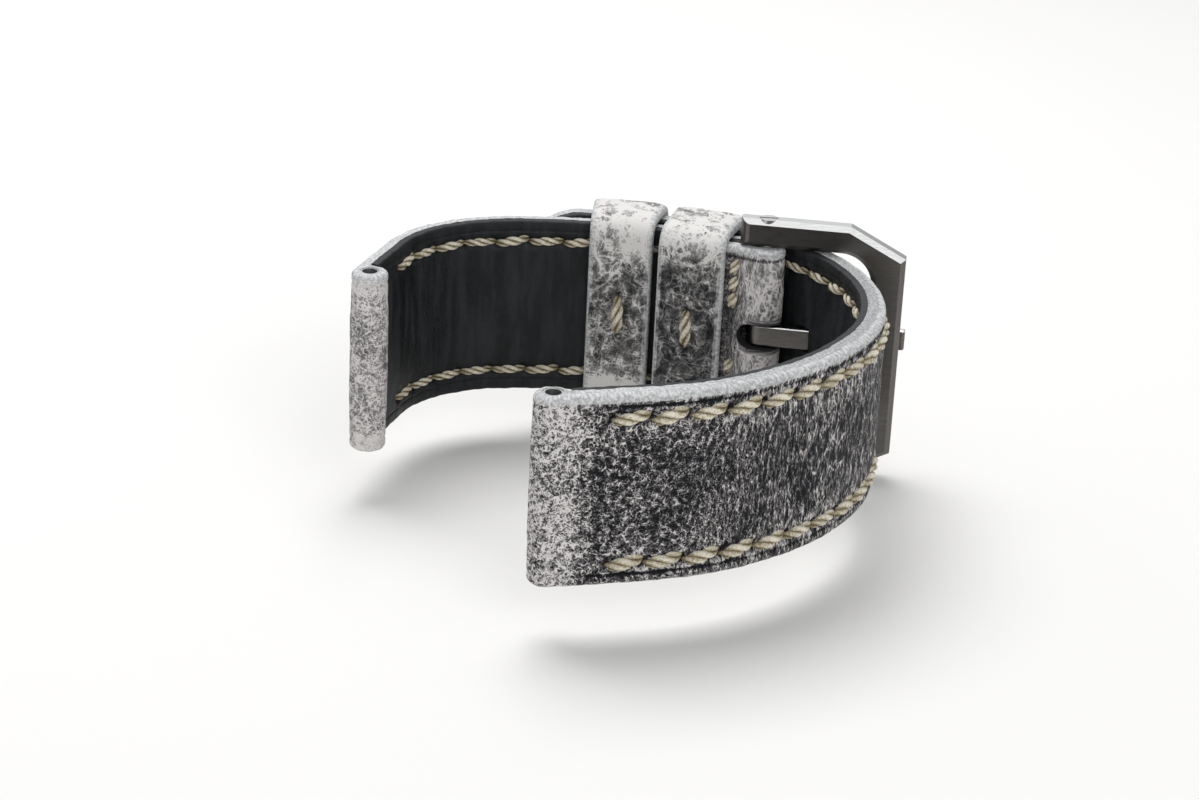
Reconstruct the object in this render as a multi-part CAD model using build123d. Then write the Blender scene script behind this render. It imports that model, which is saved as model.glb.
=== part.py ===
"""A thick vintage leather watch strap, buckled into its loop and standing on edge.

Z runs along the strap's width. The plan (X, Y) is drawn from the buckle's pivot bar, and the finished
pieces are then moved so that the origin is the bottom centre of the whole strap. Sizes are millimetres.
"""

from build123d import *
from math import asin, cos, degrees, pi, radians, sin
import os

# The two leather halves
strap_width = 26.0
tail_leather_thickness = 2.5
buckle_leather_thickness = 1.7
lining_thickness = 1.0
leather_clearance = 0.3
layer_clearance = 0.2
tip_corner_radius = 9.0

# Thread: one row near each long edge, seen on both faces
stitch_pitch = 4.95
stitch_gap = 0.7
stitch_width = 1.3
stitch_proud = 0.35
stitch_edge_margin = 3.1
stitch_lug_margin = 7.1
stitch_tip_margin = 9.0
layer_gap = 2 * stitch_proud + layer_clearance

# Plan of the short half, from the pivot bar round to its lug end
buckle_heading = 162.0
stiff_length = 12.0
wrist_radius = 54.0
wrist_angle = 29.0
shoulder_radius = 18.0
shoulder_angle = 62.0
buckle_lug_run = 12.0

# Plan of the long half, from the pivot bar back to its lug end; radii are those of its glue line
tail_bend_start = 2.2
heel_radius = 8.6
heel_angle = 22.6
bend_radius = 30.5
bend_angle = 74.7
near_radius = 41.0
near_angle = 50.1
tail_lug_run = 12.0
tip_past_bar = 36.0

# Lug ends: a steel tube in a rolled leather end
tube_outer_radius = 1.3
tube_bore_radius = 1.05
tube_recess = 0.1
tube_seat_clearance = 0.02
lug_wall = 1.2

# Buckle
bar_radius = 0.9
bar_running_clearance = 0.06
bar_fit_clearance = 0.02
fold_clearance = 0.1
frame_heading = -7.6
frame_length = 19.7
frame_thickness = 3.0
rail_width = 4.0
rail_clearance = 1.9
end_bar_width = 4.6
rail_overhang = 3.8
corner_run = 8.0
corner_drop = 4.1
window_corner_radius = 4.5
frame_bevel = 0.7
frame_drop = 1.7
frame_end_flat = 0.1

# Screws that hold the pivot bar
screw_head_radius = 1.3
screw_head_height = 1.0
screw_shank_radius = 0.5
screw_shank_length = 3.0
screw_slot_width = 0.45
screw_slot_depth = 0.4

# Tongue
tongue_width = 3.0
tongue_thickness = 1.3
tongue_ring_radius = 1.9
tongue_straight = 6.5
tongue_rise_radius = 6.0
tongue_end_gap = 0.06
tongue_overhang = 0.7
tongue_edge_round = 0.25
tongue_swing = 5.0
tongue_side_clearance = 0.35
tongue_slot_clearance = 0.3

# Folded flap round the bar, and its cross stitching
flap_length = 10.0
notch_length = 2.7
cross_stitch_station = 3.7
cross_stitch_count = 8
cross_stitch_length = 2.2
cross_stitch_width = 1.0
cross_stitch_slant = 28.0

# Adjustment holes
hole_radius = 1.4
hole_pitch = 7.0
holes_toward_tip = 3
holes_toward_lug = 2
hole_search_steps = 400
arm_steps = 60

# Keepers
keeper_wall = 1.4
keeper_clearance = 0.3
keeper_outer_round = 2.4
keeper_inner_round = 0.6
fixed_keeper_station = 5.2
fixed_keeper_width = 10.0
free_keeper_gap = 1.4
free_keeper_width = 9.6
free_keeper_travel = 10.0
keeper_stitch_length = 5.2
keeper_stitch_width = 1.2

# One overrun for every cut, and how closely two lengths agree
overrun = 2.0
length_tolerance = 0.001

half_width = strap_width / 2
bar_seat_radius = bar_radius + fold_clearance
fold_radius = bar_seat_radius + buckle_leather_thickness
lug_loop_radius = tube_outer_radius + lug_wall
tail_shift = buckle_leather_thickness + layer_gap + lining_thickness
stitch_row = half_width - stitch_edge_margin
flap_close_in = 2 * bar_seat_radius - lining_thickness


def step(pose, length, radius):
    """Moves a pose (x, y, heading) along a straight (radius None) or a left-hand arc, either way."""
    x, y, heading = pose
    if radius is None:
        angle = radians(heading)
        return (x + length * cos(angle), y + length * sin(angle), heading)
    turn = length / radius
    start = radians(heading)
    return (
        x + radius * (sin(start + turn) - sin(start)),
        y - radius * (cos(start + turn) - cos(start)),
        heading + degrees(turn),
    )


def offset_point(pose, offset):
    """The point beside a pose, with a positive offset away from the wrist, on the right-hand side."""
    x, y, heading = pose
    angle = radians(heading)
    return Vector(x + offset * sin(angle), y - offset * cos(angle))


def chain(pose, runs):
    """Lays runs (length, radius) end to end and keeps each with its first pose and first station."""
    laid = []
    station = 0.0
    for length, radius in runs:
        laid.append((station, length, radius, pose))
        pose = step(pose, length, radius)
        station += length
    return laid


def arc_length(radius, turn):
    return radius * radians(turn)


def path_length(path):
    return path[-1][0] + path[-1][1]


def pose_at(path, station):
    """The pose at a station; a station past either end follows the nearest run."""
    for first, length, radius, pose in path:
        if station <= first + length or (first, length, radius, pose) == path[-1]:
            return step(pose, station - first, radius)


def side(path, start, end, offset):
    """Edges along one offset of a path, between two stations."""
    edges = []
    for first, length, radius, pose in path:
        low = start if first == 0.0 else max(start, first)
        high = end if first + length >= path_length(path) else min(end, first + length)
        if high <= low:
            continue
        stations = (low, (low + high) / 2, high)
        points = [offset_point(step(pose, s - first, radius), offset) for s in stations]
        edges.append(Line(points[0], points[2]) if radius is None else ThreePointArc(*points))
    return edges


def band(path, start, end, inner, outer, height, middle=0.0):
    """A strip of sheet on edge: between two stations and two offsets, with its height along Z."""
    near = side(path, start, end, inner)
    far = side(path, start, end, outer)
    first = Line(near[0] @ 0, far[0] @ 0)
    last = Line(near[-1] @ 1, far[-1] @ 1)
    face = make_face(Wire([*near, *far, first, last]))
    return Pos(0, 0, middle - height / 2) * extrude(face, height, dir=(0, 0, 1))


def post(point, radius, height):
    """An upright round bar."""
    return Pos(point.X, point.Y) * Cylinder(radius, height)


def stitches(path, start, end, face, outward):
    """One row of thread on each edge of a face, as {sign: solids}."""
    rows = {1: [], -1: []}
    inner, outer = (face, face + stitch_proud) if outward else (face - stitch_proud, face)
    count = int((end - start) / stitch_pitch)
    for number in range(count):
        first = start + number * stitch_pitch
        last = first + stitch_pitch - stitch_gap
        for sign in rows:
            rows[sign].append(band(path, first, last, inner, outer, stitch_width, sign * stitch_row))
    return rows


def buckle_path():
    start = offset_point((0, 0, buckle_heading), bar_seat_radius)
    runs = [
        (stiff_length, None),
        (arc_length(wrist_radius, wrist_angle), wrist_radius),
        (arc_length(shoulder_radius, shoulder_angle), shoulder_radius),
        (buckle_lug_run, None),
    ]
    return chain((start.X, start.Y, buckle_heading), runs)


def tail_path():
    """The long half's glue line, from its lug end to its tip, with the station that lies beside the bar."""
    beside_bar = offset_point((0, 0, buckle_heading), bar_seat_radius + tail_shift)
    pose = step((beside_bar.X, beside_bar.Y, buckle_heading), tail_bend_start, None)
    round_runs = [
        (arc_length(heel_radius, heel_angle), heel_radius),
        (arc_length(bend_radius, bend_angle), bend_radius),
        (arc_length(near_radius, near_angle), near_radius),
        (tail_lug_run, None),
    ]
    for length, radius in round_runs:
        pose = step(pose, -length, radius)
    far_radius = wrist_radius + tail_shift
    far_runs = [
        (stiff_length - tail_bend_start, None),
        ((tip_past_bar - stiff_length) * far_radius / wrist_radius, far_radius),
    ]
    bend_station = sum(length for length, _ in round_runs)
    return chain(pose, round_runs[::-1] + far_runs), bend_station


def lug_end(path, end_station, leather_thickness):
    """The rolled end's centre, which keeps the outer face flush with the leather."""
    return offset_point(pose_at(path, end_station), leather_thickness - lug_loop_radius)


def tongue_poses():
    """The tongue's middle line in plan: along the bar's wrist side, then out over the frame's end bar."""
    rest_offset = tongue_thickness / 2 - tongue_ring_radius
    end_offset = frame_thickness / 2 + tongue_end_gap + tongue_thickness / 2
    rise = end_offset - rest_offset
    lean = degrees(2 * asin((rise / (4 * tongue_rise_radius)) ** 0.5))
    reach = frame_length + tongue_overhang
    last = reach - tongue_straight - 2 * tongue_rise_radius * sin(radians(lean))
    return rest_offset, end_offset, lean, last


buckle_line = buckle_path()
tail_line, bend_station = tail_path()
buckle_lug = lug_end(buckle_line, path_length(buckle_line), buckle_leather_thickness)
tail_lug = lug_end(tail_line, 0.0, tail_leather_thickness)
frame_plane = Plane(
    origin=(0, 0, -frame_drop),
    x_dir=(cos(radians(frame_heading)), sin(radians(frame_heading)), 0),
    z_dir=(sin(radians(frame_heading)), -cos(radians(frame_heading)), 0),
)


def in_frame(along, out):
    """A plan point given along the buckle frame and out from its middle plane."""
    angle = radians(frame_heading)
    return Vector(along * cos(angle) - out * sin(angle), along * sin(angle) + out * cos(angle))


def make_frame():
    """Flat steel frame: two rails and an end bar, with the outer corners cut off."""
    outer = half_width + rail_clearance + rail_width
    inner = half_width + rail_clearance
    corner_start = frame_length - corner_run
    outline = Polyline(
        (-rail_overhang, -outer),
        (corner_start, -outer),
        (frame_length, -outer + corner_drop),
        (frame_length, outer - corner_drop),
        (corner_start, outer),
        (-rail_overhang, outer),
        close=True,
    )
    window_length = frame_length - end_bar_width + rail_overhang + overrun
    window = Pos(frame_length - end_bar_width - window_length / 2, 0) * Rectangle(window_length, 2 * inner)
    window = fillet(window.vertices().sort_by(Axis.X)[-2:], window_corner_radius)
    face = make_face(outline) - window
    body = extrude(face, frame_thickness / 2, both=True)
    flats = body.faces().sort_by(Axis.Z)
    body = chamfer(flats[0].edges() + flats[-1].edges(), frame_bevel)
    side_view = Rectangle(frame_length + rail_overhang + overrun, frame_thickness)
    side_view = fillet(side_view.vertices().sort_by(Axis.X)[:2], frame_thickness / 2 - frame_end_flat)
    rounded = extrude(side_view, outer + overrun, both=True)
    rounded = Pos((frame_length - rail_overhang + overrun) / 2, 0) * Rot(90, 0, 0) * rounded
    body = frame_plane * (body & rounded)
    hole = Cylinder(bar_radius + bar_fit_clearance, 2 * (outer + overrun))
    seat_height = screw_head_height + overrun
    for sign in (1, -1):
        seat_middle = sign * (outer - screw_head_height + seat_height / 2)
        hole += Pos(0, 0, seat_middle) * Cylinder(screw_head_radius + bar_fit_clearance, seat_height)
    return body - Pos(0, 0, -frame_drop) * hole


def bar_half_length():
    return half_width + rail_clearance + rail_width - screw_head_height


def make_bar():
    """The pivot bar, with a tapped hole in each end."""
    bar = Cylinder(bar_radius, 2 * bar_half_length())
    for sign in (1, -1):
        hole_length = screw_shank_length + screw_shank_radius
        middle = sign * (bar_half_length() - hole_length / 2)
        bar -= Pos(0, 0, middle) * Cylinder(screw_shank_radius + bar_fit_clearance, hole_length)
    return Pos(0, 0, -frame_drop) * bar


def make_bar_screws():
    """Two slotted screws, each sunk flush in a rail."""
    screws = []
    for sign in (1, -1):
        head = Pos(0, 0, screw_head_height / 2) * Cylinder(screw_head_radius, screw_head_height)
        slot = Box(2 * screw_head_radius + overrun, screw_slot_width, 2 * screw_slot_depth)
        slot = Pos(0, 0, screw_head_height) * slot
        shank = Pos(0, 0, -screw_shank_length / 2) * Cylinder(screw_shank_radius, screw_shank_length)
        screw = head - slot + shank
        if sign < 0:
            screw = Rot(180, 0, 0) * screw
        screws.append(Pos(0, 0, sign * bar_half_length() - frame_drop) * screw)
    return screws


def tongue_line(lift=0.0):
    """Runs of the tongue's middle line, at a lift in degrees; a negative radius bends back the other way."""
    rest_offset, _, lean, last = tongue_poses()
    heading = frame_heading + lift
    start = offset_point((0, 0, heading), -rest_offset)
    pose = (start.X, start.Y, heading)
    runs = [
        (tongue_straight, None),
        (arc_length(tongue_rise_radius, lean), tongue_rise_radius),
        (arc_length(tongue_rise_radius, lean), -tongue_rise_radius),
        (last, None),
    ]
    return chain(pose, runs)


def make_tongue():
    """A flat arm on a ring round the bar, arched over the frame's end bar."""
    line = tongue_line()
    arm = band(line, 0.0, path_length(line), -tongue_thickness / 2, tongue_thickness / 2, tongue_width)
    tip_edges = arm.edges().filter_by(Axis.Z).sort_by_distance(in_frame(2 * frame_length, 0))[:2]
    arm = fillet(tip_edges, tongue_thickness / 3)
    flats = arm.faces().sort_by(Axis.Z)
    arm = fillet(flats[0].edges() + flats[-1].edges(), tongue_edge_round)
    ring = Cylinder(tongue_ring_radius, tongue_width)
    ring = fillet(ring.edges(), tongue_edge_round)
    return arm + ring - Cylinder(bar_radius + bar_running_clearance, tongue_width + overrun)


def tongue_slot():
    """Room in the leather for the tongue, from its rest to its lifted limit."""
    half = tongue_thickness / 2 + tongue_slot_clearance
    rest = tongue_line()
    lifted = tongue_line(tongue_swing)
    length = path_length(rest)
    near = side(rest, 0.0, length, half)
    far = side(lifted, 0.0, length, -half)
    ends = [Line(near[0] @ 0, far[0] @ 0), Line(near[-1] @ 1, far[-1] @ 1)]
    height = tongue_width + 2 * tongue_side_clearance
    face = make_face(Wire([*near, *far, *ends]))
    return Pos(0, 0, -height / 2) * extrude(face, height, dir=(0, 0, 1))


def engaged_station(middle):
    """The station of the long half, at an offset, where the resting tongue passes through it."""
    line = tongue_line()
    arm = [offset_point(pose_at(line, path_length(line) * n / arm_steps), 0) for n in range(arm_steps + 1)]
    stations = [bend_station * n / hole_search_steps for n in range(hole_search_steps + 1)]

    def gap(station):
        point = offset_point(pose_at(tail_line, station), middle)
        return min((point - spot).length for spot in arm)

    return min(stations, key=gap)


def hole_cutters(inner, outer):
    """Upright adjustment holes on both sides of the hole that the tongue is in."""
    middle = (inner + outer) / 2
    engaged = engaged_station(0.0)
    cutters = []
    for number in range(-holes_toward_lug, holes_toward_tip + 1):
        if number == 0:
            continue
        pose = pose_at(tail_line, engaged + number * hole_pitch)
        centre = offset_point(pose, middle)
        out = (sin(radians(pose[2])), -cos(radians(pose[2])), 0)
        depth = outer - inner + 2 * overrun
        plane = Plane(origin=(centre.X, centre.Y, 0), z_dir=out)
        cutters.append(plane * Cylinder(hole_radius, depth))
    return cutters


def make_tail_sheet(start, inner, outer):
    """One layer of the long half, with its rounded tip, its holes and the tongue's slot."""
    sheet = band(tail_line, start, path_length(tail_line), inner, outer, strap_width)
    tip = offset_point(pose_at(tail_line, path_length(tail_line)), (inner + outer) / 2)
    corners = sheet.edges().filter_by(lambda e: abs(e.length - (outer - inner)) < length_tolerance)
    corners = corners.sort_by_distance(tip)[:2]
    sheet = fillet(corners, tip_corner_radius)
    for cutter in hole_cutters(inner, outer):
        sheet -= cutter
    return sheet - tongue_slot()


def make_tail_leather():
    sheet = make_tail_sheet(0.0, 0.0, tail_leather_thickness)
    rolled = post(tail_lug, lug_loop_radius, strap_width)
    return sheet + rolled - post(tail_lug, tube_outer_radius + tube_seat_clearance, strap_width + overrun)


def make_tail_lining():
    return make_tail_sheet(lug_loop_radius + tube_seat_clearance, -lining_thickness, 0.0)


def make_buckle_leather():
    """The short half's outer leather, rolled round the bar and back as a flap, with the tongue's notch."""
    end = path_length(buckle_line)
    sheet = band(buckle_line, 0.0, end, 0.0, buckle_leather_thickness, strap_width)
    rolled = post(buckle_lug, lug_loop_radius, strap_width)
    sheet = sheet + rolled - post(buckle_lug, tube_outer_radius + tube_seat_clearance, strap_width + overrun)
    lean = degrees(asin(flap_close_in / flap_length))
    outward_start = offset_point((0, 0, buckle_heading), bar_seat_radius)
    wrap_turn = 180 + lean
    wrap_pose = (outward_start.X, outward_start.Y, buckle_heading)
    wrap_length = arc_length(bar_seat_radius, wrap_turn)
    end_of_wrap = step(wrap_pose, -wrap_length, bar_seat_radius)
    wrap = chain(end_of_wrap, [(wrap_length, bar_seat_radius)])
    collar = band(wrap, 0.0, wrap_length, 0.0, buckle_leather_thickness, strap_width)
    flap_pose = step(end_of_wrap, -flap_length, None)
    flap_line = chain(flap_pose, [(flap_length, None)])
    flap = band(flap_line, 0.0, flap_length, 0.0, buckle_leather_thickness, strap_width)
    notch_reach = fold_radius + overrun
    notch = Box(notch_length + notch_reach, 2 * notch_reach, tongue_width + 2 * tongue_side_clearance)
    notch = Rot(0, 0, buckle_heading) * Pos((notch_length - notch_reach) / 2, 0) * notch
    return sheet + collar + flap - notch, flap_pose


def make_buckle_lining():
    start = notch_length + leather_clearance
    end = path_length(buckle_line) - lug_loop_radius - tube_seat_clearance
    return band(buckle_line, start, end, -lining_thickness, 0.0, strap_width)


def make_tube(centre):
    length = strap_width - 2 * tube_recess
    return post(centre, tube_outer_radius, length) - post(centre, tube_bore_radius, length + overrun)


def make_cross_stitches(flap_pose):
    """A column of slanted stitches across the flap, beside the bar."""
    along = flap_length - cross_stitch_station
    pose = step(flap_pose, along, None)
    face = offset_point(pose, buckle_leather_thickness + stitch_proud / 2)
    out = (sin(radians(pose[2])), -cos(radians(pose[2])), 0)
    pitch = 2 * stitch_row / cross_stitch_count
    gap_rows = tongue_width / 2 + tongue_side_clearance + cross_stitch_length / 2
    threads = []
    for number in range(cross_stitch_count + 1):
        height = -stitch_row + number * pitch
        if abs(height) < gap_rows and cross_stitch_station < notch_length + cross_stitch_length:
            continue
        plane = Plane(origin=(face.X, face.Y, height), x_dir=(0, 0, 1), z_dir=out)
        thread = Box(cross_stitch_length, cross_stitch_width, stitch_proud)
        threads.append(plane * Rot(0, 0, cross_stitch_slant) * thread)
    return threads


def make_keeper(start, width, inner, outer):
    """A leather loop round both halves, between two stations, with its inner room between two offsets."""
    room_height = strap_width + 2 * keeper_clearance
    height = room_height + 2 * keeper_wall
    block = band(buckle_line, start, start + width, inner - keeper_wall, outer + keeper_wall, height)
    room = band(buckle_line, start - overrun, start + width + overrun, inner, outer, room_height)
    block = round_long_edges(block, keeper_outer_round)
    room = round_long_edges(room, keeper_inner_round)
    return block - room


def round_long_edges(block, radius):
    """Rounds the edges that run along the strap, on the top and bottom of a band."""
    top = block.faces().sort_by(Axis.Z)[-1]
    bottom = block.faces().sort_by(Axis.Z)[0]
    edges = [e for face in (top, bottom) for e in face.edges()]
    pose = pose_at(buckle_line, fixed_keeper_station + fixed_keeper_width)
    along = Vector(cos(radians(pose[2])), sin(radians(pose[2])))
    long_edges = [e for e in edges if abs((e % 0.5).dot(along)) > 0.5]
    return fillet(long_edges, radius)


def keeper_stitch(start, width, inner):
    """One bold upright stitch where the keeper's ends meet, on the wrist side."""
    station = start + width / 2
    face = inner - keeper_wall
    half = keeper_stitch_width / 2
    return band(buckle_line, station - half, station + half, face - stitch_proud, face, keeper_stitch_length)


buckle_leather, flap_start = make_buckle_leather()
wrist_face = -lining_thickness
outer_face = tail_shift + tail_leather_thickness
room_margin = stitch_proud + keeper_clearance
flap_lift = flap_close_in * (flap_length - fixed_keeper_station) / flap_length
fixed_inner = wrist_face - flap_lift - buckle_leather_thickness - keeper_clearance
free_inner = wrist_face - room_margin
keeper_outer = outer_face + room_margin
free_keeper_station = fixed_keeper_station + fixed_keeper_width + free_keeper_gap

tail_end = path_length(tail_line) - stitch_tip_margin
tail_outer_rows = stitches(tail_line, stitch_lug_margin, tail_end, tail_leather_thickness, True)
tail_inner_rows = stitches(tail_line, stitch_lug_margin, tail_end, -lining_thickness, False)
buckle_stitch_end = path_length(buckle_line) - stitch_lug_margin
buckle_outer_rows = stitches(buckle_line, flap_length, buckle_stitch_end, buckle_leather_thickness, True)
buckle_inner_rows = stitches(
    buckle_line, flap_length + leather_clearance, buckle_stitch_end, -lining_thickness, False
)

pieces = {
    "tail_leather": make_tail_leather(),
    "tail_lining": make_tail_lining(),
    "tail_thread_upper": tail_outer_rows[1] + tail_inner_rows[1],
    "tail_thread_lower": tail_outer_rows[-1] + tail_inner_rows[-1],
    "tail_lug_tube": make_tube(tail_lug),
    "buckle_leather": buckle_leather,
    "buckle_lining": make_buckle_lining(),
    "buckle_thread_upper": buckle_outer_rows[1] + buckle_inner_rows[1],
    "buckle_thread_lower": buckle_outer_rows[-1] + buckle_inner_rows[-1],
    "buckle_lug_tube": make_tube(buckle_lug),
    "flap_cross_thread": make_cross_stitches(flap_start),
    "buckle_frame": make_frame(),
    "pivot_bar": make_bar(),
    "pivot_bar_screws": make_bar_screws(),
    "buckle_tongue": make_tongue(),
    "fixed_keeper": make_keeper(fixed_keeper_station, fixed_keeper_width, fixed_inner, keeper_outer),
    "fixed_keeper_thread": keeper_stitch(fixed_keeper_station, fixed_keeper_width, fixed_inner),
    "free_keeper": make_keeper(free_keeper_station, free_keeper_width, free_inner, keeper_outer),
    "free_keeper_thread": keeper_stitch(free_keeper_station, free_keeper_width, free_inner),
}


def as_compound(piece):
    solids = [s for item in (piece if isinstance(piece, list) else [piece]) for s in item.solids()]
    return Compound(solids) if len(solids) > 1 else solids[0]


shapes = {name: as_compound(piece) for name, piece in pieces.items()}
boxes = [shape.bounding_box() for shape in shapes.values()]
low = Vector(*(min(tuple(b.min)[axis] for b in boxes) for axis in range(3)))
high = Vector(*(max(tuple(b.max)[axis] for b in boxes) for axis in range(3)))
origin = Vector((low.X + high.X) / 2, (low.Y + high.Y) / 2, low.Z)

os.makedirs("parts", exist_ok=True)
for name, shape in shapes.items():
    export_step(Pos(-origin.X, -origin.Y, -origin.Z) * shape, f"parts/{name}.step")

bar_axis = -origin
wrist_start = pose_at(buckle_line, stiff_length)
wrist_centre = offset_point(wrist_start, -wrist_radius) - origin
print("pivot bar axis", bar_axis)
print("wrist arc centre", wrist_centre, "travel in degrees", free_keeper_travel / wrist_radius * 180 / pi)
print("tail lug bore", tail_lug - origin, "buckle lug bore", buckle_lug - origin)
print("size", high - low)
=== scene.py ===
"""A thick vintage leather strap on its edge: two hides, linings, stitching, keepers and a steel buckle."""

import bpy
import bmesh
import numpy as np
from math import asin, ceil, cos, degrees, pi, radians, sin
from mathutils import Matrix, Vector


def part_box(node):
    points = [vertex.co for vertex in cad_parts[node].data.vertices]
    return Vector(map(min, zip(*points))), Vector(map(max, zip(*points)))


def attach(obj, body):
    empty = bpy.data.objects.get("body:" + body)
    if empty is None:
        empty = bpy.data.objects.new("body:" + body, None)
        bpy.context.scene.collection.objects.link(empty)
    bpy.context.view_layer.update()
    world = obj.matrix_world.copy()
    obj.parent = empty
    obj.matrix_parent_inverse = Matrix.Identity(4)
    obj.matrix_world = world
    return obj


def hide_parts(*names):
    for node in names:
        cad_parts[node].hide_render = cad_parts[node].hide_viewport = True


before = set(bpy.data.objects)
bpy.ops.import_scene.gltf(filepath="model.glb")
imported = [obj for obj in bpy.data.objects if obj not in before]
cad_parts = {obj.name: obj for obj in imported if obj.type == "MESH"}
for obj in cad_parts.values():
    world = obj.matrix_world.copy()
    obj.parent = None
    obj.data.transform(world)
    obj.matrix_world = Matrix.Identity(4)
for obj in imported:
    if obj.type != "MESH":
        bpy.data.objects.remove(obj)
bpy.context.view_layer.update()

# Sizes are millimetres until a mesh is written, which is in metres
MM = 0.001

# Shading is smooth up to these angles
HIDE_SHARP = 35.0
THREAD_SHARP = 60.0

# Every line that a piece is bent along has a straight lead-in of this length
LEAD = 5.0

# The hides and their stitch rows
HALF_WIDTH = 13.0
TAIL_HIDE = 2.5
SHORT_HIDE = 1.7
LINING = 1.0
LINING_GAP = 0.02
LAYER_GAP = 0.9
STITCH_MARGIN = 3.1
STITCH_PITCH = 4.95
STITCH_LUG_MARGIN = 7.1
STITCH_START = 0.3
TIP_CORNER = 9.0
ROW = HALF_WIDTH - STITCH_MARGIN
LUG_ROLL = 2.5
LUG_HOLE = 1.32
ROLL_STEPS = 48
HOLE_PITCH = 7.0
HOLE_RADIUS = 1.4
OTHER_HOLES = (-2, -1, 1, 2, 3)
ENGAGED = 80.09

# Relief of a shown face: the crease along each edge, the stitch channels with their slits, and the puckers
CREASE = 1.55
CREASE_DEPTH = 0.17
CHANNEL_DEPTH = 0.34
SLIT_DEPTH = 0.4
SLIT_LEAN = 52.0
PUCKER_HEIGHT = 0.18
WAVE_HEIGHT = 0.035
EDGE_SWAY = 0.06

# The buckle and the folded flap
BAR_SEAT = 1.0
BUCKLE_HEADING = 162.0
FRAME_HEADING = -7.6
KEEPER_BEND = 54.0
FLAP = 10.0
FLAP_STITCHES = FLAP - 3.7
NOTCH = 2.7

# The tongue: its start beside the bar, its runs, its lift, and half its room in plan and in height
TONGUE_REST = 1.25
TONGUE_RUNS = [(6.5, None), (4.673, 6.0), (4.673, -6.0), (5.47, None)]
TONGUE_LIFT = 5.0
TONGUE_HALF = 0.95
TONGUE_ROOM = 1.85

# The keepers: first station, width and innermost offset
KEEPER_WALL = 1.4
KEEPER_CORNERS = (1.4, 3.4)
KEEPER_PLAY = 0.3
KEEPER_HEADROOM = 0.65
FIXED_KEEPER = (5.2, 10.0, -3.48)
FREE_KEEPER = (16.6, 9.6, -1.65)

# The camera: its place from the bar and the strap's middle, its tilt, its roll and its lens
CAMERA_PLACE = (-22.6325, -390.7978, 149.39)
CAMERA_TILT = 22.41
CAMERA_ROLL = 2.73
CAMERA_LENS = 87.73


def middle_of(node):
    """The middle of a node's box in the frame, in millimetres."""
    low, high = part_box(node)
    return [(a + b) / 2 / MM for a, b in zip(low, high)]


BAR = tuple(middle_of("pivot_bar")[:2])
MIDDLE = middle_of("tail_leather")[2]


def advance(pose, length, radius):
    """Moves a pose (x, y, heading) along a straight or a left-hand arc, either way."""
    x, y, heading = pose
    if radius is None:
        return (x + length * cos(radians(heading)), y + length * sin(radians(heading)), heading)
    turn = length / radius
    start = radians(heading)
    east = x + radius * (sin(start + turn) - sin(start))
    north = y - radius * (cos(start + turn) - cos(start))
    return (east, north, heading + degrees(turn))


def beside(pose, offset):
    """The point to the right of a pose."""
    x, y, heading = pose
    return (x + offset * sin(radians(heading)), y - offset * cos(radians(heading)))


def placed(name, data):
    """A new object that is in the scene."""
    made = bpy.data.objects.new(name, data)
    bpy.context.scene.collection.objects.link(made)
    return made


def bent_line(name, start, runs):
    """A poly curve of straight runs and arcs, with a straight lead-in at both ends, and the runs' length."""
    pose = advance(start, -LEAD, None)
    points = [pose[:2]]
    longest = 0.3
    for length, radius in [(LEAD, None), *runs, (LEAD, None)]:
        pieces = 1 if radius is None else ceil(length / min(longest, 0.08 * radius))
        for _ in range(pieces):
            pose = advance(pose, length / pieces, radius)
            points.append(pose[:2])
    curve = bpy.data.curves.new(name, "CURVE")
    curve.dimensions = "3D"
    spline = curve.splines.new("POLY")
    spline.points.add(len(points) - 1)
    for point, (x, y) in zip(spline.points, points):
        point.co = (x * MM, y * MM, 0, 1)
    return placed(name, curve), sum(length for length, _ in runs)


def arc(radius, turn):
    """One run of a line: the length of a turn in degrees, and its radius."""
    return (radius * radians(turn), radius)


# The lines that the pieces are bent along, in plan, from the bar: straight runs, and arcs by radius and turn
short_start = beside((*BAR, BUCKLE_HEADING), BAR_SEAT)
short_runs = [(12.0, None), arc(KEEPER_BEND, 29.0), arc(18.0, 62.0), (12.0, None)]
short_line, SHORT_END = bent_line("short_line", (*short_start, BUCKLE_HEADING), short_runs)

flap_lean = degrees(asin((2 * BAR_SEAT - LINING) / FLAP))
wrap_run = arc(BAR_SEAT, 180 + flap_lean)
FOLD = FLAP + wrap_run[0]
fold_pose = advance((*short_start, BUCKLE_HEADING), -wrap_run[0], BAR_SEAT)
fold_pose = advance(fold_pose, -FLAP, None)
folded_line, FOLDED_END = bent_line("folded_line", fold_pose, [(FLAP, None), wrap_run, *short_runs])

# The long half lies outside the short half, and its own bends run back from the bar to its lug end
tail_shift = SHORT_HIDE + LAYER_GAP + LINING
beside_bar = beside((*BAR, BUCKLE_HEADING), BAR_SEAT + tail_shift)
tail_pose = advance((*beside_bar, BUCKLE_HEADING), 2.2, None)
tail_bends = [arc(8.6, 22.6), arc(30.5, 74.7), arc(41.0, 50.1), (12.0, None)]
for length, radius in tail_bends:
    tail_pose = advance(tail_pose, -length, radius)
far_radius = KEEPER_BEND + tail_shift
tail_runs = [*tail_bends[::-1], (9.8, None), (24.0 * far_radius / KEEPER_BEND, far_radius)]
tail_line, TAIL_END = bent_line("tail_line", tail_pose, tail_runs)


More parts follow.
